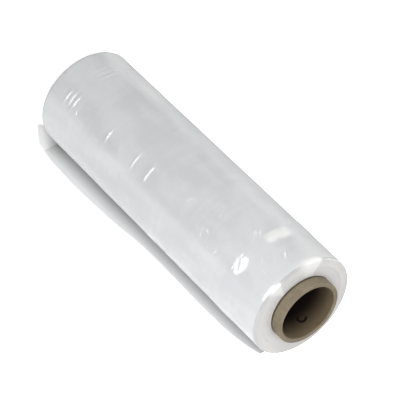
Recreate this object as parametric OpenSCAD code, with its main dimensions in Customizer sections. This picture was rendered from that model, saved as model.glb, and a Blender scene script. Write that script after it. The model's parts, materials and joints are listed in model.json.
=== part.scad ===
// A roll of stretch wrap: clear film wound on a spiral board core, which stands out of it at both ends.
// The roll stands on one end of the core. Its axis is Z, and the origin is the middle of that end.

/* [Core] */
// Bore of the core, which turns on a dispenser's shaft or handles
core_bore_d = 76.2; // [60:0.1:80]
// Thickness of the core's board wall
core_wall = 6; // [5:0.1:10]
// Length of core that stands out of the film at each end
core_overhang = 12; // [5:0.5:30]
// Rounding of the core's cut edges
core_edge_r = 0.8; // [0.3:0.1:1.2]
// Number of layers of board that show in the wall
core_plies = 3; // [2:1:6]
// Width of the groove that opens between two plies on a cut end
ply_groove_w = 0.3; // [0.1:0.05:0.35]
// Depth of that groove
ply_groove_depth = 0.3; // [0.1:0.05:0.8]

/* [Film] */
// Width of the film, which is the length of the wound body
film_width = 457; // [300:1:1000]
// Thickness of the wound film on the core, all its turns together
film_thickness = 25.9; // [16:0.1:80]
// Rounding of the rim, where the outer turns have slipped and been rubbed
rim_r = 3; // [1:0.5:6]

/* [Turns on the end faces] */
// Number of slopes that the wandering turns make on each end face
turn_slopes = 6; // [4:1:14]
// How far the turns wander in from the edge of the film
turn_wander = 0.3; // [0.1:0.1:2]
// How far the innermost turns lie further in than the outermost, as film narrows where it is wound tightest
end_dish = 2; // [0:0.5:3]

/* [Gauge bands on the outside] */
// Height of a fine ridge, where the film runs thick in every turn
ridge_h = 0.3; // [0.1:0.05:0.8]
// Width of a fine ridge
ridge_w = 6.5; // [2:0.5:7]
// Distance from ridge to ridge in the group of three near the lower end
ridge_pitch = 8.5; // [7.5:0.5:12]
// Height of the broad band near the upper end
band_h = 0.6; // [0.1:0.05:0.8]
// Width of that broad band
band_w = 52; // [20:1:60]

/* [Hidden] */
$fn = 96;

core_bore_r = core_bore_d / 2;
core_r = core_bore_r + core_wall;
core_length = film_width + 2 * core_overhang;
film_r = core_r + film_thickness;

// Flats that stand for a quarter of a rounded edge
core_edge_steps = 2;
rim_steps = 3;
// Where the ridges lie across the film, as shares of its width from the lower edge
first_group_place = 0.07;
group_count = 3;
lone_ridge_places = [0.27, 0.395, 0.457];
band_place = 0.842;
// The turns' wander repeats after no whole number of slopes, because each adds this angle
wander_angle = 137.5;
// The two ends start their wander at different angles
lower_wander_start = 20;
upper_wander_start = 75;

// Points of an arc about a centre, from one angle to another
function arc_points(centre, radius, from, to, steps) =
    [for (k = [0 : steps]) centre + radius * [for (trig = [0, 1])
        let (angle = from + (to - from) * k / steps) trig == 0 ? cos(angle) : sin(angle)]];

// A list of [radius, height] points, mirrored in height about the middle of a length
function flipped(points, length) = [for (p = points) [p.x, length - p.y]];

// A list in reverse order
function reversed(points) = [for (k = [len(points) - 1 : -1 : 0]) points[k]];

// Ply grooves on the lower end of the core, from the bore outwards
groove_inner_r = core_bore_r + core_edge_r;
ply_pitch = (core_wall - 2 * core_edge_r) / core_plies;
function ply_grooves() = [for (k = [1 : core_plies - 1])
    let (r = groove_inner_r + k * ply_pitch)
    each [[r - ply_groove_w / 2, 0], [r, ply_groove_depth], [r + ply_groove_w / 2, 0]]];

// The lower end of the core, from the bore to the outside
function core_end() = concat(
    arc_points([core_bore_r + core_edge_r, core_edge_r], core_edge_r, 180, 270, core_edge_steps),
    ply_grooves(),
    arc_points([core_r - core_edge_r, core_edge_r], core_edge_r, 270, 360, core_edge_steps));

// How far in from the edge of the film the turns lie at the foot of a slope
function wander(slope, start) = turn_wander * (1 + sin(start + slope * wander_angle)) / 2;

// The slopes on the film's lower end face, from the core out to the rim
turn_pitch = (film_r - rim_r - core_r) / turn_slopes;
function turn_points(start) = [for (k = [0 : turn_slopes - 1])
    [core_r + k * turn_pitch, wander(k, start) + end_dish * (1 - k / turn_slopes)]];

// A lower end of the film, from the core to the outside
function film_end(start) = concat(
    turn_points(start),
    arc_points([film_r - rim_r, rim_r], rim_r, 270, 360, rim_steps));

// A fine ridge on the outside of the film: a slope, a flat crown and a slope, a third of its width each
function ridge(place) = [for (k = [0 : 3])
    [film_r + (k == 0 || k == 3 ? 0 : ridge_h), place + ridge_w * (k / 3 - 1 / 2)]];

// The broad band: one hump of a cosine
band_steps = 4;
function band(place) = [for (k = [0 : band_steps])
    [film_r + band_h * (1 - cos(360 * k / band_steps)) / 2, place + band_w * (k / band_steps - 1 / 2)]];

// The outside of the film between its rims, from the lower rim upwards
function film_side() = concat(
    [for (k = [0 : group_count - 1]) each ridge(first_group_place * film_width + k * ridge_pitch)],
    [for (place = lone_ridge_places) each ridge(place * film_width)],
    band(band_place * film_width));

// The spiral-wound board tube, whole, with the plies open on its cut ends
module core() {
    color("#8f7f63")
        rotate_extrude()
            polygon(concat(core_end(), reversed(flipped(core_end(), core_length))));
}

// All the turns of film as one ring, which sits on the core
module film() {
    color("#dfe2e4", 0.9)
        translate([0, 0, core_overhang])
            rotate_extrude()
                polygon(concat(
                    film_end(lower_wander_start),
                    film_side(),
                    reversed(flipped(film_end(upper_wander_start), film_width))));
}

core();
film();
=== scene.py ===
"""Dresses a packed roll of stretch wrap: clear film wound on a board core, standing on a pale stage."""

import json
import math

import bpy
import numpy as np
from mathutils import Matrix, Vector


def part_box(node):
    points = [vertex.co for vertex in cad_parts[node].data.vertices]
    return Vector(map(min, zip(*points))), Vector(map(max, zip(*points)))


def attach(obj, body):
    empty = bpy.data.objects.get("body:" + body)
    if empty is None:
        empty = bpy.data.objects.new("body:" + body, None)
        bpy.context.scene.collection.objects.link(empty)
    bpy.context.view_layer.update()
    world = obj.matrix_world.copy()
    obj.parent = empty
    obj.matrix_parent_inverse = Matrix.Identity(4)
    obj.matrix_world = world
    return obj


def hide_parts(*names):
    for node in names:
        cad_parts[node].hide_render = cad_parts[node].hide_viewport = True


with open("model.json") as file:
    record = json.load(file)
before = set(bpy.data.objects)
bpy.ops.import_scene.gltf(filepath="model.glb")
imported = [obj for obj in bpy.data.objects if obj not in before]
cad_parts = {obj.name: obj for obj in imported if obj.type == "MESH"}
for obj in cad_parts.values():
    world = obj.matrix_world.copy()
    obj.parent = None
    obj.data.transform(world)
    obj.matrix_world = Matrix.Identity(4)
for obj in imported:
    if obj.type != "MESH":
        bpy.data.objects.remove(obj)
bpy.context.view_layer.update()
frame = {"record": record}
FILM_LOW, FILM_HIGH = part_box("film")
CORE_LOW, CORE_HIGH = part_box("core")

bl_info = {
    "name": "Stretch wrap roll",
    "version": (1, 0, 0),
    "blender": (4, 5, 0),
    "location": "View3D > Sidebar > Stretch roll",
    "description": "Makes the wound film, the board core and the stage of a roll of stretch wrap",
    "category": "Add Mesh",
}

MM = 0.001
TURN = 2 * math.pi
BODY = "root"
BORE_MOUNT = next(mount for mount in frame["record"]["mounts"] if mount["name"] == "core_bore")
BORE_RADIUS = BORE_MOUNT["dims"]["r_mm"] * MM

# Places of the gauge bands on the film, as shares of its width from the lower edge
FIRST_GROUP_PLACE = 0.07
GROUP_COUNT = 3
LONE_RIDGE_PLACES = (0.27, 0.395, 0.457)
BAND_PLACE = 0.842
# Angles from +X in degrees: where all ridges stand, where the group's do too, and half the width there
RIDGE_MIDDLE = -3
GROUP_MIDDLE = -51
RIDGE_SPREAD = 11
# Shares of a ridge's mean height: at the lower edge, where it has faded, and of its sway round the roll
RIDGE_START = 1.08
RIDGE_REST = 0.08
RIDGE_SWAY = 0.06
# How far the crest of a fine ridge is rounded, as a share of half its width
ROOF_ROUNDING = 0.15
# The end faces wander in slopes, and each slope's foot adds this angle to the wander of the last
WANDER_ANGLE = math.radians(137.5)
LOWER_WANDER_START = math.radians(20)
UPPER_WANDER_START = math.radians(75)
# Waves of the outer turns' slack: share, waves round the roll, radians a metre along it, and phase
SLACK_WAVES = ((1, 5, 14, 0), (0.7, 11, -31, 1), (0.4, 23, 52, 2))
# Hoops in the slack: share, radians a metre along the roll, and how far and how often they sway round it
SLACK_HOOPS = ((0.15, 330, 2, 1), (0.08, 570, 1, 2))
# Waves of the loose end's line: radians round the roll, and radians a metre along it
TAIL_WAVES = ((0.012, 21), (0.006, 67))
# Angle past the loose end at which its step is down to 0.37
TAIL_FADE = math.radians(25)
UNEVENNESS_SEED = 7

# Numbers of section points: on an end face, up the outside, on a ridge, on the band, on the roundings
END_POINTS = 38
SIDE_POINTS = 90
RIDGE_POINTS = 21
BAND_POINTS = 61
QUARTER_POINTS = 7
LIP_POINTS = 4
CORE_EDGE_POINTS = 5
CORE_WALL_POINTS = 60
POINTS_A_PLY = 6
# Heights up the outside are rounded to so many decimals of a metre, and none is doubled
HEIGHT_DECIMALS = 5
# Section points this near to the film's radius are on its outside
TOUCHING = 0.01 * MM
# Edges sharper than this are shaded as edges
SHARP_EDGE = math.radians(50)

# Noises in the materials: scale, detail, and stretch along X, Y and Z
HOOPS = (55, 4, (0.12, 0.12, 2.2))
CLOUDS = (26, 3, (1, 1, 0.55))
WRINKLES = (70, 3, (0.5, 0.5, 1.3))
FIBRES = (420, 5, (1, 1, 0.35))
BLOTCHES = (60, 3, (1, 1, 1))
SPECKS = (330, 1, (1, 1, 1))
# Scale and detail of the rings that the turns' cut edges make, and how little they change along the axis
RING_NOISE = (900, 3)
RING_STRETCH = 0.2
# Creases: scale, how far drawn out, tilt in degrees about X, Y and Z, and their patches' scale and range
CREASES = (
    (30, 5.0, (25, 30, 0), 21, 0.52, 0.60),
    (42, 3.5, (-50, 10, 20), 17, 0.55, 0.62),
)
# Half width of a crease, in steps of its noise
CREASE_WIDTH = 0.02
# Share of the hoops in the film's tone, the clouds having the rest, and the range from grey to white
HOOP_SHARE = 0.2
CLEAR_RANGE = (0.38, 0.62)
# Where the rim's grey starts and ends, in rim radii: from the film's edge, and on its ends from the outside
SIDE_RIM = (0.8, 1.5)
END_RIM = (0.8, 1.4)
# Painted highlight on the turns beside the core: how far from the core they are all white, and no whiter than
# the rest
INNER_HIGHLIGHT = (0.6 * MM, 2.5 * MM)
# Relief of the film's wrinkles, and how much higher a crease is
WRINKLE_RELIEF = 0.075 * MM
CREASE_RELIEF = 1.6
# Painted highlights on the puckers: they grow whiter between these reliefs, up to a share
PUCKER_RANGE = (0.08 * MM, 0.2 * MM)
PUCKER_HIGHLIGHT = 0.2
# A pucker ends at this share of its half width
PUCKER_END = 1.3
# Puckers in the outer turn: degrees from +X, height, length and width in mm, slant in degrees, relief in mm
PUCKERS = (
    (-34, 392, 14, 3.6, 35, 0.22),
    (-38, 396, 11, 3.1, 50, 0.2),
    (-11, 379, 11, 3.1, 60, 0.21),
    (-21, 427, 13, 3.6, 40, 0.22),
    (5, 72, 12, 3.6, 20, 0.24),
    (-8, 84, 11, 3.6, 70, 0.24),
    (10, 122, 12, 3.6, 60, 0.23),
    (-12, 229, 11, 3.6, 50, 0.21),
    (-23, 342, 12, 3.6, 30, 0.22),
    (-4, 343, 11, 3.1, 60, 0.21),
    (-30, 436, 15, 3.6, 30, 0.21),
    (-40, 440, 14, 3.6, 55, 0.21),
    (-14, 441, 13, 3.6, 75, 0.21),
    (-2, 409, 13, 2.1, 25, 0.18),
    (-6, 405, 12, 2.1, 55, 0.18),
)
# Painted highlights: fan-shaped patches of white on the upper end where the turns' edges would catch the
# light, in degrees from +X: middle, half width at the core and at the rim
FAN_HIGHLIGHTS = ((-9, 2, 8), (-56, 8, 13))
# A fan's sharp side and its fading one: where each starts and ends, in half widths from its middle
FAN_SHARP = (-1.15, -0.85)
FAN_FADING = (0.2, 1.6)
# Darker board: range of the noise, and share of the dark colour; the seams have the share alone
FIBRE_DARK = (0.35, 0.65, 0.18)
BLOTCH_DARK = (0.4, 0.65, 0.25)
SPECK_DARK = (0.70, 0.76, 0.7)
SEAM_SHARE = 0.45
# Half the width of a seam, as a share of the strip's rise, and how deep it is beside the fibres
SEAM_WIDTH = 0.012
SEAM_RELIEF = 2
# Shares of the bore's own colour in the bore, and of the painted shade's colour in the line beside the film
BORE_SHARE = 0.8
MEETING_SHADE_SHARE = 0.9
# How near to the film the line of painted shade is all dark, as a share of its height
MEETING_SHADE_FULL = 0.3
# Half the width of the dark half ring's stroke: all dark, and where it ends; and its open side, in its radii
RING_MARK_STROKE = (1.2 * MM, 2.4 * MM)
RING_MARK_OPENING = -0.5
# Faces whose normals point along the axis by more than this share are the film's cut edges, and the core's
FILM_UPRIGHT = 0.7
CORE_UPRIGHT = 0.5

CREAM = (1, 0.95, 0.80)
COOL = (0.95, 0.975, 1)
WARM = (1, 0.975, 0.94)
PLAIN = (1, 1, 1)
PAPER_WHITE = (0.95, 0.95, 0.95)
# Half the side of the floor, and the backdrop's height and half its width
SHEET_REACH = 2.0
CAMERA_AIM = (-0.0266, 0.0003, 0.2384)
SENSOR_WIDTH = 36
# Outer edge of the roll's shade on the backdrop: share of the shade's height, and mm from the line of contact
SHADE_EDGE = ((0, 64.5), (0.1, 68), (0.35, 65), (0.5, 59), (0.62, 58), (0.8, 58.5), (0.9, 56), (1, 47))
# The curve node's values stay under 1, so they are in this unit
SHADE_UNIT = 100
WIDEST_SHADE = MM * max(reach for height, reach in SHADE_EDGE)
# Half the width of the shade's soft edge, and the power by which the shade clears outwards
SHADE_SOFTNESS = 2 * MM
CLEARING_POWER = 0.55
# Lamps: name, what they face, azimuth and elevation in degrees, distance, width, height, brightness, tint,
# and whether gloss alone shows them; the others light matt surfaces alone
LAMPS = (
    ("key", "middle", 56, 22, 2.0, 0.6, 0.6, 2.0, COOL, False),
    ("high_key", "middle", 56, 55, 2.0, 0.6, 0.6, 0.9, COOL, False),
    ("side_key", "middle", 90, 20, 2.0, 0.6, 0.6, 1.2, COOL, False),
    ("high_side_key", "middle", 90, 55, 2.0, 0.6, 0.6, 1.6, COOL, False),
    ("front_fill", "upper", 75, 15, 0.7, 0.4, 0.4, 2.1, PLAIN, False),
    ("end_fill", "upper", 75, 60, 0.7, 0.4, 0.4, 1.8, PLAIN, False),
    ("low_fill", "upper", 142, 15, 0.6, 0.3, 0.3, 1.6, WARM, False),
    ("far_fill", "upper", 20, 15, 0.7, 0.4, 0.4, 0.9, WARM, False),
    ("side_fill", "middle", 345, 20, 1.6, 0.8, 0.8, 0.9, WARM, False),
    ("back_fill", "middle", 235, 0, 1.6, 0.8, 0.44, 6.0, PLAIN, False),
    ("low_strip_left", "middle", 99.8, -26.4, 10, 6.2, 1.2, 9, PLAIN, True),
    ("low_strip_right", "middle", 14, -26.4, 10, 4.6, 1.2, 4.3, CREAM, True),
    ("low_strip_far_right", "middle", -12, -26.4, 10, 4.6, 1.2, 3.5, CREAM, True),
    ("rim_right", "upper", -55, 12, 2.0, 1.2, 0.5, 10, PLAIN, True),
)
# Energy of an area lamp of brightness 1 and 1 square metre
LAMP_ENERGY = 4
# Parts of the room that gloss sees darker or brighter: azimuth, elevation, inner and outer radius in degrees,
# and the sign and the name of the stage's setting that says how much
ROOM_PARTS = (
    (55, -35, 56, 62, -1, "dim_level"),
    (-95, -20, 25, 50, -1, "side_dim_level"),
    (160, -35, 24, 34, 1, "panel_level"),
)


def length(name, description, default):
    """A size in metres for a property group."""
    kind = {"precision": 5, "subtype": "DISTANCE", "unit": "LENGTH"}
    return bpy.props.FloatProperty(name=name, description=description, default=default, min=0, **kind)


def angle(name, description, default):
    """An angle given in degrees for a property group."""
    return bpy.props.FloatProperty(
        name=name, description=description, default=math.radians(default), subtype="ANGLE", unit="ROTATION"
    )


def colour(name, description, default):
    """A linear colour for a property group."""
    return bpy.props.FloatVectorProperty(
        name=name, description=description, default=default, size=3, min=0, max=1, subtype="COLOR"
    )


def number(name, description, default):
    """A plain number for a property group."""
    return bpy.props.FloatProperty(name=name, description=description, default=default, min=0)


def count(name, description, default, lowest):
    """A whole number for a property group."""
    return bpy.props.IntProperty(name=name, description=description, default=default, min=lowest)


class STRETCHROLL_PG_film(bpy.types.PropertyGroup):
    """Sizes and colours of the wound film."""

    ridge_height: length("Ridge height", "Mean height of a fine ridge on the outside", 0.3 * MM)
    ridge_width: length("Ridge width", "Width of a fine ridge", 6.5 * MM)
    ridge_fade: number("Ridge fade", "Share of its height that a ridge would lose from edge to edge", 0.6)
    ridge_pitch: length("Ridge pitch", "Distance between the ridges of the lower group", 8.5 * MM)
    band_height: length("Band height", "Height of the broad band near the upper end", 0.6 * MM)
    band_width: length("Band width", "Width of the broad band", 52 * MM)
    band_ripple: length("Band ripple", "Height of the ripples on the broad band", 0.013 * MM)
    ripple_pitch: length("Ripple pitch", "Distance from ripple to ripple", 5.2 * MM)
    taut_edge: length("Taut edge", "How far in from its edges the film is wound taut", 45 * MM)
    rim_radius: length("Rim radius", "Rounding of the rim", 3 * MM)
    lip_radius: length("Lip radius", "Rounding of the innermost turns beside the core", 0.6 * MM)
    turn_wander: length("Turn wander", "How far the turns wander in from the film's edge", 0.3 * MM)
    end_dish: length("End dish", "How much further in the innermost turns lie than the outermost", 2 * MM)
    turn_slopes: count("Turn slopes", "Slopes on each end face", 6, 2)
    turn_relief: length("Turn relief", "Unevenness from one group of turns to the next", 0.03 * MM)
    slack: length("Slack", "Unevenness of the outer turns round the roll", 0.04 * MM)
    tail_step: length("Tail step", "How far the loose end of the film stands proud", 0.15 * MM)
    tail_azimuth: angle("Tail azimuth", "Where the loose end lies, from +X towards +Y", 128)
    segments: count("Segments", "Faces round the film", 256, 32)
    clear_white: colour("Film", "Colour of many turns of clear film", (0.672, 0.679, 0.686))
    cloud_grey: colour("Clouds", "Colour of film with less air between its turns", (0.605, 0.618, 0.634))
    edge_white: colour("Cut edges", "Colour of the turns' cut edges", (0.655, 0.635, 0.62))
    rim_grey: colour("Rim", "Colour of the film on the rounded rim", (0.48, 0.48, 0.48))
    # Painted highlight: the fan-shaped patches stand in for light caught by the turns' edges
    fan_highlight: colour("Fan highlights", "Colour of the fan-shaped patches on the ends", (0.80, 0.80, 0.79))
    # Painted highlight, on the turns beside the core and on the puckers
    highlight_white: colour("Highlights", "Colour of the turns beside the core", (0.95, 0.94, 0.92))


class STRETCHROLL_PG_core(bpy.types.PropertyGroup):
    """Sizes and colours of the board core."""

    wall: length("Wall", "Thickness of the board wall", 6 * MM)
    edge_radius: length("Edge radius", "Rounding of the cut edges", 0.8 * MM)
    plies: count("Plies", "Layers of board in the wall", 9, 2)
    ply_relief: length("Ply relief", "Depth of the grooves between plies on a cut end", 0.15 * MM)
    strip_pitch: length("Strip pitch", "Rise of the board strip in one turn of its spiral", 107 * MM)
    segments: count("Segments", "Faces round the core", 192, 32)
    board: colour("Board", "Colour of the board's face", (0.25, 0.21, 0.145))
    bore_board: colour("Bore", "Colour of the board's inner face", (0.14, 0.099, 0.056))
    # Painted shade: the bore darkens inwards to this colour
    bore_shade: colour("Deep bore", "Colour deep in the bore", (0.010, 0.006, 0.005))
    # Painted shade: a dark line on the core where the film meets it
    meeting_shade_colour: colour("Meeting line", "Colour of the board where the film meets it", (0.05, 0.042, 0.03))
    meeting_shade_height: length("Meeting line", "Height of the dark line where the film meets the core", 3 * MM)
    # Where the bore's painted shade starts and where it is full
    bore_clean: length("Clean bore", "How far into the bore its face keeps its own colour", 3 * MM)
    bore_deep: length("Deep bore", "How far into the bore its face is all dark", 37 * MM)
    # A dark half ring in the bore near the upper end
    ring_mark_radius: length("Ring mark radius", "Radius of the dark half ring in the bore near the upper end", 5.2 * MM)
    ring_mark_azimuth: angle("Ring mark azimuth", "Where the dark half ring lies, from +X towards +Y", 150)
    ring_mark_depth: length("Ring mark depth", "How far below the upper end the dark half ring lies", 24 * MM)
    board_dark: colour("Dark board", "Colour of the darker fibres and seams", (0.13, 0.10, 0.07))
    cut_end: colour("Cut end", "Colour of the board where it was cut", (0.26, 0.215, 0.15))


class STRETCHROLL_PG_stage(bpy.types.PropertyGroup):
    """Camera, floor, backdrop and the room's light."""

    camera_azimuth: angle("Camera azimuth", "Direction of the camera, 0 from -Y and 90 from +X", 74.91)
    camera_elevation: angle("Camera elevation", "Height of the camera above the horizon", 34.99)
    camera_roll: angle("Camera roll", "Turn of the camera about its own sightline", 134.19)
    camera_distance: length("Camera distance", "From the camera to the point it looks at", 2.5631)
    camera_aim: bpy.props.FloatVectorProperty(
        name="Camera aim", description="Point it looks at", default=CAMERA_AIM, subtype="XYZ", unit="LENGTH"
    )
    camera_lens: number("Lens", "Focal length for a 36 mm sensor", 184.2)
    backdrop_azimuth: angle("Backdrop azimuth", "Direction that the backdrop faces", 45)
    floor_glow: number("Floor glow", "White that the floor adds for the camera", 0.7)
    backdrop_glow: number("Backdrop glow", "White that the backdrop adds for the camera", 0.9)
    gloss_glow: number("Glow in gloss", "White that floor and backdrop add in gloss and glass", 0.2)
    shade_start: length("Shade start", "Where the shade is darkest, from the line of contact", 38 * MM)
    shade_clear: length("Shade clear", "Where the shaded paper has its full white again", 62 * MM)
    clearing_shift: number("Clearing shift", "Share of the shade's narrowing by which it clears sooner", 0.2)
    shade_widening: length("Shade widening", "How much further the shade reaches on the floor", 6.5 * MM)
    shade_turn: length("Shade turn", "Distance from the backdrop at which it reaches that far", 18 * MM)
    shade_front: length("Shade front", "How far the shade laps over on to the floor", 57 * MM)
    shade_top: length("Shade top", "Height at which the shade ends", 450 * MM)
    contact_grey: number("Contact grey", "Share of the paper's white left where the shade is darkest", 0.1)
    room_level: number("Room level", "Even light of the room on the object", 0.385)
    panel_level: number("Panel level", "How much brighter than white the soft panel shows in gloss", 0.5)
    dim_level: number("Dim level", "How much darker than white the dim side of the room shows in gloss", 0.7)
    side_dim_level: number("Side dim level", "How much darker than white its far side shows in gloss", 0.35)


def connect(tree, made, inputs):
    """Fills a node's inputs, by socket name or number, with values or with links from output sockets."""
    for key, value in inputs.items():
        if isinstance(value, bpy.types.NodeSocket):
            tree.links.new(value, made.inputs[key])
        else:
            made.inputs[key].default_value = value


def node(tree, kind, inputs=None, **settings):
    """Adds a shader node and fills its inputs."""
    made = tree.nodes.new(kind)
    for key, value in settings.items():
        setattr(made, key, value)
    connect(tree, made, inputs or {})
    return made


def math_node(tree, operation, *values):
    """The result of one operation on numbers."""
    return node(tree, "ShaderNodeMath", dict(enumerate(values)), operation=operation).outputs[0]


def chained(tree, operation, values):
    """The result of an operation that takes in one value after the other."""
    total = values[0]
    for value in values[1:]:
        total = math_node(tree, operation, total, value)
    return total


def plus(tree, *values):
    """The sum of the values."""
    return chained(tree, "ADD", values)


def minus(tree, *values):
    """The first value less the others."""
    return chained(tree, "SUBTRACT", values)


def times(tree, *values):
    """The product of the values."""
    return chained(tree, "MULTIPLY", values)


def largest(tree, *values):
    """The largest of the values."""
    return chained(tree, "MAXIMUM", values)


def smallest(tree, *values):
    """The smallest of the values."""
    return chained(tree, "MINIMUM", values)


def vector(tree, x, y):
    """A vector in the XY plane."""
    return node(tree, "ShaderNodeCombineXYZ", {"X": x, "Y": y}).outputs[0]


def size_of(tree, value):
    """The length of a vector."""
    return node(tree, "ShaderNodeVectorMath", {0: value}, operation="LENGTH").outputs["Value"]


def share_along(tree, value, way):
    """How far a vector reaches along a fixed direction."""
    return node(tree, "ShaderNodeVectorMath", {0: value, 1: way}, operation="DOT_PRODUCT").outputs["Value"]


def mixed(tree, share, first, second):
    """A colour between two colours, by a share from 0 to 1."""
    made = node(tree, "ShaderNodeMix", {"Factor": share}, data_type="RGBA")
    for socket, value in ((made.inputs[6], first), (made.inputs[7], second)):
        if isinstance(value, bpy.types.NodeSocket):
            tree.links.new(value, socket)
        else:
            socket.default_value = (*value, 1)
    return made.outputs[2]


def carried(tree, value, low, high, to_low, to_high, way="LINEAR"):
    """A number carried from one range to another and held at its ends."""
    return node(
        tree,
        "ShaderNodeMapRange",
        {"Value": value, "From Min": low, "From Max": high, "To Min": to_low, "To Max": to_high},
        interpolation_type=way,
    ).outputs["Result"]


def ranged(tree, value, low, high, to_low=0.0, to_high=1.0):
    """A number carried smoothly from one range to another."""
    return carried(tree, value, low, high, to_low, to_high, "SMOOTHSTEP")


def placed(tree, place, scale, tilt, way):
    """A vector scaled by axis and turned by angles in degrees; way TEXTURE does the reverse of both."""
    turned = tuple(math.radians(value) for value in tilt)
    inputs = {"Vector": place, "Rotation": turned, "Scale": scale}
    return node(tree, "ShaderNodeMapping", inputs, vector_type=way).outputs[0]


def noise(tree, place, scale, detail, stretch=(1, 1, 1), tilt=(0, 0, 0), way="POINT"):
    """Noise on object coordinates that are scaled and turned first."""
    inputs = {"Vector": placed(tree, place, stretch, tilt, way), "Scale": scale, "Detail": detail}
    return node(tree, "ShaderNodeTexNoise", inputs).outputs["Fac"]


def creases(tree, place, scale, lengthen, tilt, patch_scale, patch_low, patch_high):
    """1 along the thin lines where drawn-out noise crosses its middle, where other noise is high."""
    off_line = minus(tree, noise(tree, place, scale, 1, (1, 1, lengthen), tilt, "TEXTURE"), 0.5)
    line = ranged(tree, math_node(tree, "ABSOLUTE", off_line), 0.0, CREASE_WIDTH, 1.0, 0.0)
    patches = ranged(tree, noise(tree, place, patch_scale, 2), patch_low, patch_high)
    return times(tree, line, patches)


def mirrored_rays(tree):
    """1 for the rays that gloss and glass send out."""
    path = node(tree, "ShaderNodeLightPath").outputs
    return largest(tree, path["Is Glossy Ray"], path["Is Transmission Ray"])


def new_material(name):
    """An empty material with its output and a Principled shader; returns material, tree and shader."""
    material = bpy.data.materials.new(name)
    material.use_nodes = True
    tree = material.node_tree
    tree.nodes.clear()
    shader = node(tree, "ShaderNodeBsdfPrincipled")
    node(tree, "ShaderNodeOutputMaterial", {"Surface": shader.outputs[0]})
    return material, tree, shader


def object_place(tree):
    """Object coordinates, with their three parts."""
    place = node(tree, "ShaderNodeTexCoord").outputs["Object"]
    parts = node(tree, "ShaderNodeSeparateXYZ", {0: place}).outputs
    return place, parts["X"], parts["Y"], parts["Z"]


def polar(tree, x, y):
    """Distance from the axis and angle round it."""
    squares = plus(tree, times(tree, x, x), times(tree, y, y))
    return math_node(tree, "SQRT", squares), math_node(tree, "ARCTAN2", y, x)


def painted_fans(tree, radius, around, z, core_radius):
    """Up to 1 on the painted highlights of the upper end: fan-shaped patches of white where the turns' edges
    would catch the light. A fan has one sharp side and fades out on the other."""
    total = 0.0
    for middle, half_inside, half_outside in FAN_HIGHLIGHTS:
        off = minus(tree, around, math.radians(middle))
        half_widths = (math.radians(half_inside), math.radians(half_outside))
        spread = carried(tree, radius, core_radius, FILM_HIGH.x, *half_widths)
        share = math_node(tree, "DIVIDE", off, spread)
        sharp = ranged(tree, share, *FAN_SHARP)
        fading = ranged(tree, share, *FAN_FADING, 1.0, 0.0)
        total = largest(tree, total, times(tree, sharp, fading))
    upper = math_node(tree, "GREATER_THAN", z, (FILM_LOW.z + FILM_HIGH.z) / 2)
    return times(tree, total, upper)


def puckers(tree, around, z):
    """Relief of the small puckers, in metres: each an oval bell, long one way and turned by its slant."""
    total = 0.0
    for middle, height, long_way, wide_way, slant, relief in PUCKERS:
        arc = times(tree, minus(tree, around, math.radians(middle)), FILM_HIGH.x)
        flat = vector(tree, arc, minus(tree, z, height * MM))
        half_sizes = (long_way / 2 * MM, wide_way / 2 * MM, 1)
        turned = placed(tree, flat, half_sizes, (0, 0, slant), "TEXTURE")
        bell = ranged(tree, size_of(tree, turned), 0.0, PUCKER_END, relief * MM, 0.0)
        total = plus(tree, total, bell)
    return total


def film_side_material(film, core_radius):
    """Glossy clear film, milky in depth, with faint hoops of thicker film and clouds of trapped air. It is
    grey on the rim, apart from the painted fan-shaped highlights there, and has fine wrinkles, creases and
    puckers, the puckers whiter with painted highlights."""
    material, tree, shader = new_material("clear film, outside")
    place, x, y, z = object_place(tree)
    hoops = times(tree, noise(tree, place, *HOOPS), HOOP_SHARE)
    clouds = times(tree, noise(tree, place, *CLOUDS), 1 - HOOP_SHARE)
    clear = ranged(tree, plus(tree, hoops, clouds), *CLEAR_RANGE)
    tone = mixed(tree, clear, film.cloud_grey, film.clear_white)
    radius, around = polar(tree, x, y)
    from_edge = smallest(tree, minus(tree, z, FILM_LOW.z), minus(tree, FILM_HIGH.z, z))
    rim = ranged(tree, from_edge, *(share * film.rim_radius for share in SIDE_RIM), 1.0, 0.0)
    tone = mixed(tree, rim, tone, film.rim_grey)
    # Painted highlight: the fan-shaped patches reach over the rim
    rim_fan_highlight = times(tree, rim, painted_fans(tree, radius, around, z, core_radius))
    tone = mixed(tree, rim_fan_highlight, tone, film.fan_highlight)
    wrinkles = noise(tree, place, *WRINKLES)
    folds = largest(tree, *(creases(tree, place, *numbers) for numbers in CREASES))
    fine = times(tree, plus(tree, wrinkles, times(tree, folds, CREASE_RELIEF)), WRINKLE_RELIEF)
    dents = puckers(tree, around, z)
    # Painted highlights: the puckers grow whiter with their relief
    tone = mixed(tree, ranged(tree, dents, *PUCKER_RANGE, 0.0, PUCKER_HIGHLIGHT), tone, film.highlight_white)
    relief = plus(tree, fine, dents)
    bump = node(tree, "ShaderNodeBump", {"Height": relief, "Strength": 1.0, "Distance": 1.0})
    sockets = {
        "Base Color": tone,
        "Normal": bump.outputs[0],
        "Roughness": 0.4,
        "Subsurface Weight": 0.5,
        "Subsurface Radius": (1, 1, 1),
        "Subsurface Scale": 8 * MM,
        "Coat Normal": bump.outputs[0],
        "Coat Weight": 0.9,
        "Coat Roughness": 0.07,
        "Coat IOR": 1.5,
    }
    connect(tree, shader, sockets)
    return material


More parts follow.
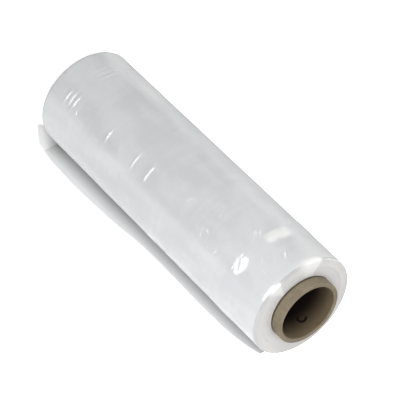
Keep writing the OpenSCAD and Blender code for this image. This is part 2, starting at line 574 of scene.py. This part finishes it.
def film_edge_material(film, core_radius):
    """Cut edges of the turns: fine rings about the axis that spread a lamp into a radial streak. They carry
    painted highlights beside the core and in fan-shaped patches, and are grey towards the rim."""
    material, tree, shader = new_material("clear film, cut edges")
    x, y, z = object_place(tree)[1:]
    radius, around = polar(tree, x, y)
    scale, detail = RING_NOISE
    ring_place = vector(tree, radius, times(tree, z, RING_STRETCH))
    inputs = {"Vector": ring_place, "Scale": scale, "Detail": detail}
    rings = node(tree, "ShaderNodeTexNoise", inputs).outputs["Fac"]
    tone = mixed(tree, ranged(tree, rings, 0.3, 0.7, 0.4, 1.0), film.cloud_grey, film.edge_white)
    # Painted highlight on the turns beside the core
    inner = ranged(tree, minus(tree, radius, core_radius), *INNER_HIGHLIGHT, 1.0, 0.0)
    tone = mixed(tree, inner, tone, film.highlight_white)
    from_rim = minus(tree, FILM_HIGH.x, radius)
    rim = ranged(tree, from_rim, *(share * film.rim_radius for share in END_RIM), 1.0, 0.0)
    tone = mixed(tree, rim, tone, film.rim_grey)
    # Painted highlight: fan-shaped patches on the upper end
    tone = mixed(tree, painted_fans(tree, radius, around, z, core_radius), tone, film.fan_highlight)
    bump = node(tree, "ShaderNodeBump", {"Height": rings, "Strength": 0.5, "Distance": 0.1 * MM})
    outwards = node(tree, "ShaderNodeVectorMath", {0: vector(tree, x, y)}, operation="NORMALIZE").outputs[0]
    sockets = {
        "Base Color": tone,
        "Normal": bump.outputs[0],
        "Tangent": outwards,
        "Roughness": 0.5,
        "Anisotropic": 0.9,
        "Specular IOR Level": 0.6,
        "Subsurface Weight": 0.5,
        "Subsurface Radius": (1, 1, 1),
        "Subsurface Scale": 6 * MM,
    }
    connect(tree, shader, sockets)
    return material


def half_ring_mask(tree, around, z, core):
    """1 on the dark half ring in the bore: the stroke of a half ring, open towards one side."""
    across = times(tree, minus(tree, around, core.ring_mark_azimuth), BORE_RADIUS)
    along = minus(tree, z, CORE_HIGH.z - core.ring_mark_depth)
    from_middle = size_of(tree, vector(tree, across, along))
    off_ring = math_node(tree, "ABSOLUTE", minus(tree, from_middle, core.ring_mark_radius))
    half = math_node(tree, "GREATER_THAN", minus(tree, along, across), RING_MARK_OPENING * core.ring_mark_radius)
    return times(tree, ranged(tree, off_ring, *RING_MARK_STROKE, 1.0, 0.0), half)


def board_material(core, name, cut, film_dish):
    """Kraft board: fibres, blotches, dark specks and, on the faces, the seams of the strip's spiral. The bore
    has painted shade that darkens it inwards, and a dark half ring near its upper end. A line of painted
    shade runs where film and core meet."""
    material, tree, shader = new_material(name)
    place, x, y, z = object_place(tree)
    fibres = noise(tree, place, *FIBRES)
    blotches = noise(tree, place, *BLOTCHES)
    specks = noise(tree, place, *SPECKS)
    tone = core.cut_end if cut else core.board
    for value, (low, high, share) in ((fibres, FIBRE_DARK), (blotches, BLOTCH_DARK), (specks, SPECK_DARK)):
        dark = times(tree, ranged(tree, value, low, high), share)
        tone = mixed(tree, dark, tone, core.board_dark)
    height = fibres
    if not cut:
        radius, around = polar(tree, x, y)
        turns_up = math_node(tree, "DIVIDE", z, core.strip_pitch)
        turns_round = math_node(tree, "DIVIDE", around, TURN)
        off_seam = math_node(tree, "PINGPONG", minus(tree, turns_up, turns_round), 0.5)
        seam = ranged(tree, off_seam, 0.0, SEAM_WIDTH, 1.0, 0.0)
        tone = mixed(tree, times(tree, seam, SEAM_SHARE), tone, core.board_dark)
        height = minus(tree, fibres, times(tree, seam, SEAM_RELIEF))
        inside = math_node(tree, "LESS_THAN", radius, BORE_RADIUS + core.wall / 2)
        tone = mixed(tree, times(tree, inside, BORE_SHARE), tone, core.bore_board)
        # Painted shade: the bore darkens with depth, and the dark half ring takes the same colour
        depth = smallest(tree, z, minus(tree, CORE_HIGH.z, z))
        deep = ranged(tree, depth, core.bore_clean, core.bore_deep)
        dark = times(tree, inside, largest(tree, deep, half_ring_mask(tree, around, z, core)))
        tone = mixed(tree, dark, tone, core.bore_shade)
        # Painted shade where the film meets the core
        foot = CORE_HIGH.z - FILM_HIGH.z + film_dish
        near_film = ranged(tree, depth, foot - core.meeting_shade_height, foot - MEETING_SHADE_FULL * core.meeting_shade_height)
        outside = minus(tree, 1.0, inside)
        tone = mixed(tree, times(tree, near_film, outside, MEETING_SHADE_SHARE), tone, core.meeting_shade_colour)
    bump = node(tree, "ShaderNodeBump", {"Height": height, "Strength": 0.6, "Distance": 0.15 * MM})
    sockets = {
        "Base Color": tone,
        "Normal": bump.outputs[0],
        "Roughness": 0.85,
        "Specular IOR Level": 0.25,
    }
    connect(tree, shader, sockets)
    return material


def shade_edge(tree, height):
    """How far the shade reaches from the line of contact, by its height as a share: a smooth curve."""
    made = node(tree, "ShaderNodeFloatCurve", {"Value": height})
    points = made.mapping.curves[0].points
    while len(points) < len(SHADE_EDGE):
        points.new(0.5, 0.5)
    for point, (share, reach) in zip(points, SHADE_EDGE):
        point.location = (share, reach / SHADE_UNIT)
    made.mapping.update()
    return times(tree, made.outputs[0], SHADE_UNIT * MM)


def shade_mask(tree, across, in_front, z, shade):
    """0 in the shade and 1 on the rest of the paper; also how far the shade reaches there from the contact.
    The shade runs up the backdrop, narrows towards the upper end and laps over on to the floor."""
    widening = ranged(tree, in_front, 0.0, shade.shade_turn, 0.0, shade.shade_widening)
    reach = plus(tree, shade_edge(tree, math_node(tree, "DIVIDE", z, shade.shade_top)), widening)
    past_edge = ranged(tree, minus(tree, across, reach), -SHADE_SOFTNESS, SHADE_SOFTNESS)
    slanted = plus(tree, in_front, minus(tree, reach, across))
    past_end = ranged(tree, slanted, shade.shade_front - 2 * SHADE_SOFTNESS, shade.shade_front)
    above = math_node(tree, "GREATER_THAN", z, shade.shade_top)
    other_side = math_node(tree, "LESS_THAN", across, 0.0)
    behind = math_node(tree, "LESS_THAN", in_front, -MM)
    return largest(tree, past_edge, above, other_side, behind, past_end), reach


def shade_tone(tree, across, reach, shade):
    """Painted shadow: the paper's colour in the shade, darkest near the contact, clearing outwards, sooner
    where narrow.
    """
    shift = shade.clearing_shift
    shifted = minus(tree, across, times(tree, reach, shift))
    limits = (shade.shade_start - shift * WIDEST_SHADE, shade.shade_clear - shift * WIDEST_SHADE)
    clearing = math_node(tree, "POWER", carried(tree, shifted, *limits, 0.0, 1.0), CLEARING_POWER)
    return mixed(tree, largest(tree, clearing, shade.contact_grey), (0, 0, 0), PAPER_WHITE)


def paper_material(name, glow, shade):
    """White paper that shows its front alone. The camera sees glow on top of the light that falls on it,
    gloss and glass see less of it. The glow leaves out the roll's shade, where the lamps' real shadow shows
    and the paper's colour is darkened as well, as painted shadow. Gloss sees the paper only from where the
    shade is darkest outwards, and matt surfaces are lit as if by plain paper."""
    material, tree, shader = new_material(name)
    path = node(tree, "ShaderNodeLightPath").outputs
    mirrored = mirrored_rays(tree)
    place, x, y, z = object_place(tree)
    sideways = (math.cos(shade.backdrop_azimuth), math.sin(shade.backdrop_azimuth), 0)
    facing = (math.sin(shade.backdrop_azimuth), -math.cos(shade.backdrop_azimuth), 0)
    across = share_along(tree, place, sideways)
    in_front = plus(tree, share_along(tree, place, facing), FILM_HIGH.x)
    shown, reach = shade_mask(tree, across, in_front, z, shade)
    plain = largest(tree, shown, path["Is Diffuse Ray"])
    shaded = shade_tone(tree, across, reach, shade)
    sockets = {
        # Painted shadow: the paper's colour darkens in the roll's shade
        "Base Color": mixed(tree, plain, shaded, PAPER_WHITE),
        "Roughness": 1,
        "Specular IOR Level": 0,
    }
    connect(tree, shader, sockets)
    to_camera = times(tree, path["Is Camera Ray"], shown, glow)
    in_gloss = times(tree, mirrored, shown, shade.gloss_glow)
    shine = node(tree, "ShaderNodeEmission", {"Strength": plus(tree, to_camera, in_gloss)})
    paper = node(tree, "ShaderNodeAddShader", {0: shader.outputs[0], 1: shine.outputs[0]})
    clear = node(tree, "ShaderNodeBsdfTransparent")
    near_roll = math_node(tree, "LESS_THAN", across, shade.shade_start)
    back = node(tree, "ShaderNodeNewGeometry").outputs["Backfacing"]
    hidden = largest(tree, back, times(tree, mirrored, near_roll))
    seen = node(tree, "ShaderNodeMixShader", {0: hidden, 1: paper.outputs[0], 2: clear.outputs[0]})
    output = next(made for made in tree.nodes if made.type == "OUTPUT_MATERIAL")
    connect(tree, output, {"Surface": seen.outputs[0]})
    return material


def roof(place, centre, width):
    """A low roof about a centre: two straight slopes under a rounded crest, 1 high and 0 beyond its feet."""
    share = np.clip(np.abs(place - centre) / (width / 2), 0, 1)
    foot = math.hypot(1, ROOF_ROUNDING)
    return (foot - np.hypot(share, ROOF_ROUNDING)) / (foot - ROOF_ROUNDING)


def wrapped(turn, middle):
    """A flat-topped bell over the angles round the roll, 1 at its middle and 0.37 at the ridges' spread."""
    off = np.mod(turn - math.radians(middle) + np.pi, TURN) - np.pi
    return np.exp(-(off / math.radians(RIDGE_SPREAD)) ** 6)


def hump(place, centre, width):
    """One hump of a cosine about a centre, from 0 at its feet to 1 at its crest."""
    share = np.clip(np.abs(place - centre) / (width / 2), 0, 1)
    return (1 + np.cos(np.pi * share)) / 2


def quarter(centre_r, centre_z, radius, start, points=QUARTER_POINTS):
    """Points of a quarter circle in the section, from a start angle in degrees, turning left."""
    turn = np.radians(start) + np.linspace(0, np.pi / 2, points)
    return centre_r + radius * np.cos(turn), centre_z + radius * np.sin(turn)


def end_depth(radius, inner, outer, start, film, rng):
    """Depth of the turns below the film's edge at a radius: straight slopes between feet that wander and that
    lie deeper towards the core, and fine unevenness."""
    feet = np.linspace(inner, outer, film.turn_slopes + 1)
    depths = film.turn_wander * (1 + np.sin(start + np.arange(feet.size) * WANDER_ANGLE)) / 2
    depths[-1] = 0
    depths = depths + film.end_dish * (outer - feet) / (outer - inner)
    fine = rng.uniform(-1, 1, radius.size) * film.turn_relief
    return np.interp(radius, feet, depths) + fine + film.turn_relief


def ridge_places(low, high, film):
    """Heights of the fine ridges, the group's first, and of the broad band."""
    width = high - low
    places = [low + FIRST_GROUP_PLACE * width + k * film.ridge_pitch for k in range(GROUP_COUNT)]
    places += [low + share * width for share in LONE_RIDGE_PLACES]
    return places, low + BAND_PLACE * width


def side_heights(low, high, film):
    """Heights of the section points on the outside, closer together on the ridges and the band."""
    places, band = ridge_places(low, high, film)
    half_ridge, half_band = film.ridge_width / 2, film.band_width / 2
    rows = [np.linspace(low + film.rim_radius, high - film.rim_radius, SIDE_POINTS)]
    rows += [np.linspace(place - half_ridge, place + half_ridge, RIDGE_POINTS) for place in places]
    rows.append(np.linspace(band - half_band, band + half_band, BAND_POINTS))
    return np.unique(np.round(np.concatenate(rows), HEIGHT_DECIMALS))


def film_section(film, core_radius, film_radius, low, high):
    """Closed section of the wound film: out along the lower end, up the outside, in along the upper end, down
    the core. Returns the radii, the heights and a mask of the points on the outside."""
    rng = np.random.default_rng(UNEVENNESS_SEED)
    lip, rim = film.lip_radius, film.rim_radius
    rim_centre = film_radius - rim
    flat = np.linspace(core_radius + lip, rim_centre, END_POINTS)
    lower_z = low + end_depth(flat, core_radius, rim_centre, LOWER_WANDER_START, film, rng)
    upper_z = high - end_depth(flat, core_radius, rim_centre, UPPER_WANDER_START, film, rng)
    heights = side_heights(low, high, film)
    rows = [
        quarter(core_radius + lip, lower_z[0] + lip, lip, 180, LIP_POINTS),
        (flat[1:], lower_z[1:]),
        quarter(rim_centre, low + rim, rim, -90),
        (np.full(heights.size - 2, film_radius), heights[1:-1]),
        quarter(rim_centre, high - rim, rim, 0),
        (flat[:0:-1], upper_z[:0:-1]),
        quarter(core_radius + lip, upper_z[0] - lip, lip, 90, LIP_POINTS),
    ]
    radii, z = (np.concatenate([row[k] for row in rows]) for k in (0, 1))
    return radii, z, radii > film_radius - TOUCHING


def film_outside(film, turn, z, low, high):
    """How far the outside stands proud of its mean radius: the sum of the fine ridges, the broad band with
    its ripples, the slack of the outer turns and the step of the loose end. A ridge is a roof along the roll.
    It is lower the nearer it lies to the upper end, and fades round the roll away from where it stands. The
    slack is a sum of low sine waves round and along the roll, and none at the rims."""
    places, band = ridge_places(low, high, film)
    ripples = film.band_ripple * np.sin(TURN * z / film.ripple_pitch)
    proud = hump(z, band, film.band_width) * (film.band_height + ripples)
    for k, place in enumerate(places):
        height = film.ridge_height * (RIDGE_START - film.ridge_fade * (place - low) / (high - low))
        stands = wrapped(turn, RIDGE_MIDDLE) + (wrapped(turn, GROUP_MIDDLE) if k < GROUP_COUNT else 0)
        stands = RIDGE_REST + (1 - RIDGE_REST) * stands
        sway = 1 + RIDGE_SWAY * np.sin(3 * turn + 2 * k)
        proud = proud + height * roof(z, place, film.ridge_width) * sway * stands
    slack = 0
    for share, waves, along, phase in SLACK_WAVES:
        slack = slack + share * np.sin(waves * turn + along * z + phase)
    for share, along, sway, sways in SLACK_HOOPS:
        slack = slack + share * np.sin(along * z + sway * np.sin(sways * turn))
    slack = slack * np.clip(np.minimum(z - low, high - z) / film.taut_edge, 0, 1)
    tail_line = film.tail_azimuth + sum(share * np.sin(along * z) for share, along in TAIL_WAVES)
    tail = film.tail_step * np.exp(-np.mod(turn - tail_line, TURN) / TAIL_FADE)
    return proud + film.slack * slack + tail


def turned_mesh(name, radius, turn, z):
    """A closed mesh from a grid of points, section points by angles round the axis; both ways close up."""
    rows, columns = z.shape
    near, across = np.meshgrid(np.arange(rows), np.arange(columns), indexing="ij")
    far, beside = (near + 1) % rows, (across + 1) % columns
    corners = ((near, across), (near, beside), (far, beside), (far, across))
    quads = np.stack([row * columns + column for row, column in corners], -1)
    points = np.stack([radius * np.cos(turn), radius * np.sin(turn), z], -1)
    mesh = bpy.data.meshes.new(name)
    mesh.from_pydata(points.reshape(-1, 3), [], quads.reshape(-1, 4))
    mesh.shade_smooth()
    mesh.set_sharp_from_angle(angle=SHARP_EDGE)
    return mesh


def add_piece(mesh, materials, upright, replaced):
    """Links a mesh as a piece that rides on the roll's body and stands for a CAD node. Its second material
    goes on the faces whose normals point along the axis by more than the share upright."""
    piece = bpy.data.objects.new(mesh.name, mesh)
    bpy.context.scene.collection.objects.link(piece)
    for material in materials:
        mesh.materials.append(material)
    normals = np.empty(len(mesh.polygons) * 3)
    mesh.polygons.foreach_get("normal", normals)
    mesh.polygons.foreach_set("material_index", (np.abs(normals[2::3]) > upright).astype(np.int32))
    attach(piece, BODY)
    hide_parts(replaced)


class STRETCHROLL_OT_film(bpy.types.Operator):
    """Makes the wound film, all its turns as one ring"""

    bl_idname = "stretch_roll.film"
    bl_label = "Make wound film"

    def execute(self, context):
        film = context.scene.stretch_roll_film
        core_radius = BORE_RADIUS + context.scene.stretch_roll_core.wall
        film_radius = FILM_HIGH.x - film.band_height
        radii, heights, outside = film_section(film, core_radius, film_radius, FILM_LOW.z, FILM_HIGH.z)
        turn, z = np.meshgrid(np.arange(film.segments) * TURN / film.segments, heights)
        proud = np.where(outside[:, None], film_outside(film, turn, z, FILM_LOW.z, FILM_HIGH.z), 0)
        mesh = turned_mesh("wound_film", radii[:, None] + proud, turn, z)
        materials = [film_side_material(film, core_radius), film_edge_material(film, core_radius)]
        add_piece(mesh, materials, FILM_UPRIGHT, "film")
        return {"FINISHED"}


class STRETCHROLL_OT_core(bpy.types.Operator):
    """Makes the spiral-wound board core"""

    bl_idname = "stretch_roll.core"
    bl_label = "Make board core"

    def execute(self, context):
        core = context.scene.stretch_roll_core
        edge = core.edge_radius
        inner = BORE_RADIUS + edge
        outer = BORE_RADIUS + core.wall - edge
        low, high = CORE_LOW.z + edge, CORE_HIGH.z - edge
        flat = np.linspace(inner, outer, core.plies * POINTS_A_PLY + 1)[1:-1]
        plies = (flat - BORE_RADIUS) / core.wall * core.plies
        groove = core.ply_relief * np.abs(np.cos(np.pi * plies)) ** 8
        wall_z = np.linspace(low, high, CORE_WALL_POINTS)[1:-1]
        rows = [
            quarter(inner, low, edge, 180, CORE_EDGE_POINTS),
            (flat, CORE_LOW.z + groove),
            quarter(outer, low, edge, -90, CORE_EDGE_POINTS),
            (np.full(wall_z.size, BORE_RADIUS + core.wall), wall_z),
            quarter(outer, high, edge, 0, CORE_EDGE_POINTS),
            (flat[::-1], CORE_HIGH.z - groove[::-1]),
            quarter(inner, high, edge, 90, CORE_EDGE_POINTS),
            (np.full(wall_z.size, BORE_RADIUS), wall_z[::-1]),
        ]
        radii, heights = (np.concatenate([row[k] for row in rows]) for k in (0, 1))
        turn, z = np.meshgrid(np.arange(core.segments) * TURN / core.segments, heights)
        mesh = turned_mesh("board_core", radii[:, None], turn, z)
        dish = context.scene.stretch_roll_film.end_dish
        faces = board_material(core, "core board, faces", False, dish)
        ends = board_material(core, "core board, cut ends", True, dish)
        add_piece(mesh, [faces, ends], CORE_UPRIGHT, "core")
        return {"FINISHED"}


def direction(azimuth, elevation):
    """Unit vector from the roll towards an azimuth, 0 at -Y and growing towards +X, and an elevation."""
    flat = math.cos(elevation)
    return Vector((math.sin(azimuth) * flat, -math.cos(azimuth) * flat, math.sin(elevation)))


def facing_back(place, back, roll=0.0):
    """The placing of a lamp or a camera whose back points one way, rolled about its own sightline."""
    side = Vector((0, 0, 1)).cross(back).normalized()
    top = back.cross(side)
    right = side * math.cos(roll) + top * math.sin(roll)
    up = top * math.cos(roll) - side * math.sin(roll)
    return Matrix.Translation(place) @ Matrix((right, up, back)).transposed().to_4x4()


def add_camera(stage):
    """A camera that looks at its aim from an azimuth and elevation, rolled about its own sightline."""
    back = direction(stage.camera_azimuth, stage.camera_elevation)
    data = bpy.data.cameras.new("camera")
    data.sensor_width = SENSOR_WIDTH
    data.lens = stage.camera_lens
    camera = bpy.data.objects.new("camera", data)
    bpy.context.scene.collection.objects.link(camera)
    place = Vector(stage.camera_aim) + back * stage.camera_distance
    camera.matrix_world = facing_back(place, back, stage.camera_roll)
    bpy.context.scene.camera = camera


def add_sheet(name, corners, material):
    """A flat four-cornered sheet that belongs to the stage."""
    mesh = bpy.data.meshes.new(name)
    mesh.from_pydata(corners, [], [range(len(corners))])
    mesh.materials.append(material)
    sheet = bpy.data.objects.new(name, mesh)
    bpy.context.scene.collection.objects.link(sheet)
    return sheet


def add_lamp(name, aim, azimuth, elevation, distance, width, height, brightness, tint, in_gloss):
    """An area lamp that faces a point. It lights matt surfaces, or with in_gloss it shows in gloss alone."""
    data = bpy.data.lights.new(name, "AREA")
    data.shape = "RECTANGLE"
    data.size = width
    data.size_y = height
    data.energy = brightness * LAMP_ENERGY * width * height
    data.color = tint
    lamp = bpy.data.objects.new(name, data)
    bpy.context.scene.collection.objects.link(lamp)
    back = direction(math.radians(azimuth), math.radians(elevation))
    lamp.matrix_world = facing_back(aim + back * distance, back)
    lamp.visible_camera = False
    lamp.visible_diffuse = not in_gloss
    lamp.visible_glossy = in_gloss


def make_room(stage):
    """Even light for the object. The camera sees plain white, and gloss white with dim parts and a panel."""
    world = bpy.data.worlds.new("white room")
    bpy.context.scene.world = world
    world.use_nodes = True
    tree = world.node_tree
    tree.nodes.clear()
    towards = node(tree, "ShaderNodeTexCoord").outputs["Generated"]
    path = node(tree, "ShaderNodeLightPath").outputs
    level = 1.0
    for azimuth, elevation, inner, outer, sign, setting in ROOM_PARTS:
        centre = direction(math.radians(azimuth), math.radians(elevation))
        limits = (math.cos(math.radians(outer)), math.cos(math.radians(inner)))
        share = ranged(tree, share_along(tree, towards, centre), *limits)
        in_gloss = times(tree, share, path["Is Glossy Ray"])
        level = plus(tree, level, times(tree, in_gloss, sign * getattr(stage, setting)))
    room = node(tree, "ShaderNodeBackground", {"Color": (*PLAIN, 1), "Strength": stage.room_level})
    white = node(tree, "ShaderNodeBackground", {"Color": (*PLAIN, 1), "Strength": level})
    direct = largest(tree, path["Is Camera Ray"], mirrored_rays(tree))
    both = node(tree, "ShaderNodeMixShader", {0: direct, 1: room.outputs[0], 2: white.outputs[0]})
    node(tree, "ShaderNodeOutputWorld", {"Surface": both.outputs[0]})


class STRETCHROLL_OT_stage(bpy.types.Operator):
    """Makes the camera, the floor, the backdrop that the roll touches, the lamps and the room"""

    bl_idname = "stretch_roll.stage"
    bl_label = "Make stage"

    def execute(self, context):
        stage = context.scene.stretch_roll_stage
        add_camera(stage)
        reach = SHEET_REACH
        corners = [(-reach, -reach, 0), (reach, -reach, 0), (reach, reach, 0), (-reach, reach, 0)]
        floor = add_sheet("floor", corners, paper_material("floor paper", stage.floor_glow, stage))
        floor.visible_glossy = False
        facing = direction(stage.backdrop_azimuth, 0)
        side = Vector((0, 0, 1)).cross(facing) * reach
        foot = facing * -FILM_HIGH.x
        rise = Vector((0, 0, reach))
        wall = [foot - side, foot + side, foot + side + rise, foot - side + rise]
        paper = paper_material("backdrop paper", stage.backdrop_glow, stage)
        backdrop = add_sheet("backdrop", wall, paper)
        backdrop.visible_shadow = False
        aims = {
            "middle": Vector((0, 0, (CORE_LOW.z + CORE_HIGH.z) / 2)),
            "upper": Vector((0, 0, FILM_HIGH.z)),
        }
        for name, aim, *numbers in LAMPS:
            add_lamp(name, aims[aim], *numbers)
        make_room(stage)
        context.scene.view_settings.view_transform = "Standard"
        return {"FINISHED"}


class STRETCHROLL_PT_sidebar(bpy.types.Panel):
    """Lists the settings and the operators of the roll"""

    bl_idname = "STRETCHROLL_PT_sidebar"
    bl_label = "Stretch wrap roll"
    bl_space_type = "VIEW_3D"
    bl_region_type = "UI"
    bl_category = "Stretch roll"

    def draw(self, context):
        for name, operator in STEPS:
            settings = getattr(context.scene, name)
            box = self.layout.box()
            for prop in settings.__annotations__:
                box.prop(settings, prop)
            box.operator(operator.bl_idname)


STEPS = (
    ("stretch_roll_film", STRETCHROLL_OT_film),
    ("stretch_roll_core", STRETCHROLL_OT_core),
    ("stretch_roll_stage", STRETCHROLL_OT_stage),
)
GROUPS = {
    "stretch_roll_film": STRETCHROLL_PG_film,
    "stretch_roll_core": STRETCHROLL_PG_core,
    "stretch_roll_stage": STRETCHROLL_PG_stage,
}
CLASSES = (*GROUPS.values(), *(operator for name, operator in STEPS), STRETCHROLL_PT_sidebar)


def register():
    """Registers the classes and gives the scene its settings."""
    for made in CLASSES:
        bpy.utils.register_class(made)
    for name, group in GROUPS.items():
        setattr(bpy.types.Scene, name, bpy.props.PointerProperty(type=group))


def unregister():
    """Takes the settings and the classes away again."""
    for name in GROUPS:
        delattr(bpy.types.Scene, name)
    for made in reversed(CLASSES):
        bpy.utils.unregister_class(made)


def main():
    """Registers the add-on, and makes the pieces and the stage."""
    register()
    bpy.ops.stretch_roll.stage()
    bpy.ops.stretch_roll.core()
    bpy.ops.stretch_roll.film()


if __name__ == "__main__":
    main()
